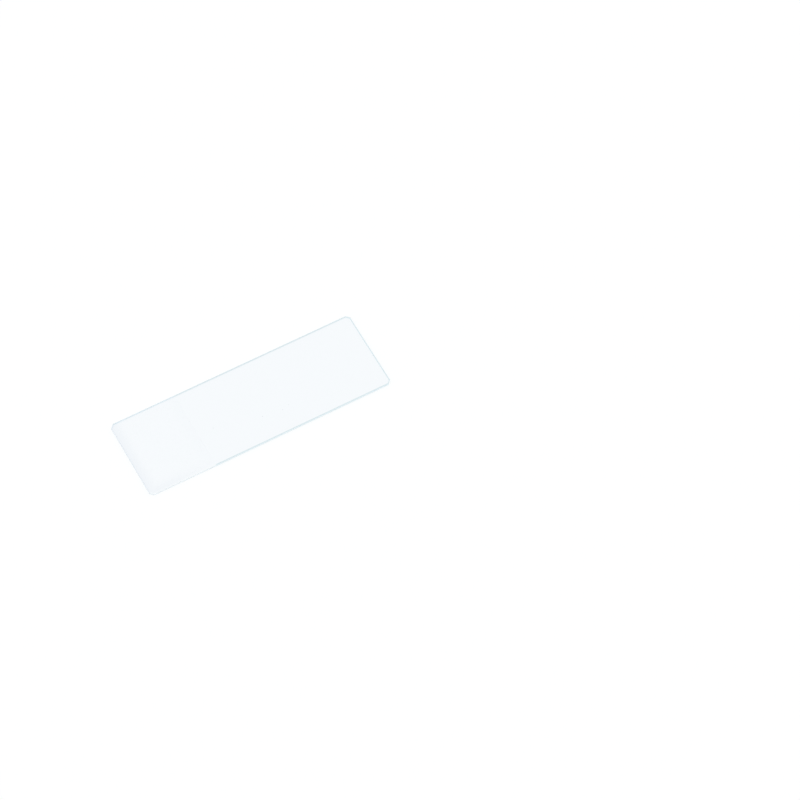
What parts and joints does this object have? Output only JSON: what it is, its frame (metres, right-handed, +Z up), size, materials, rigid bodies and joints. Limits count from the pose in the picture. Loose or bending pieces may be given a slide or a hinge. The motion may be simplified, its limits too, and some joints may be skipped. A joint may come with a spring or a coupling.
{
  "type": "microscope slide",
  "caption": "Thin flat rectangular pane of clear glass with ground edges and clipped corners, frosted at an end for writing; it carries a specimen under a microscope.",
  "frame": {"origin": "centre of the underside, on the surface that the slide lies on", "axes": "+X along the length towards the clear end, with the frosted end at -X; +Y across the width; +Z up through the thickness, out of the frosted face"},
  "size_m": [0.075, 0.025, 0.001],
  "materials": {
    "slide_glass": "polished clear faces, ground rim, finely frosted band at one end"
  },
  "bodies": {
    "root": {"slide": "slide_glass"}
  },
  "joints": []
}
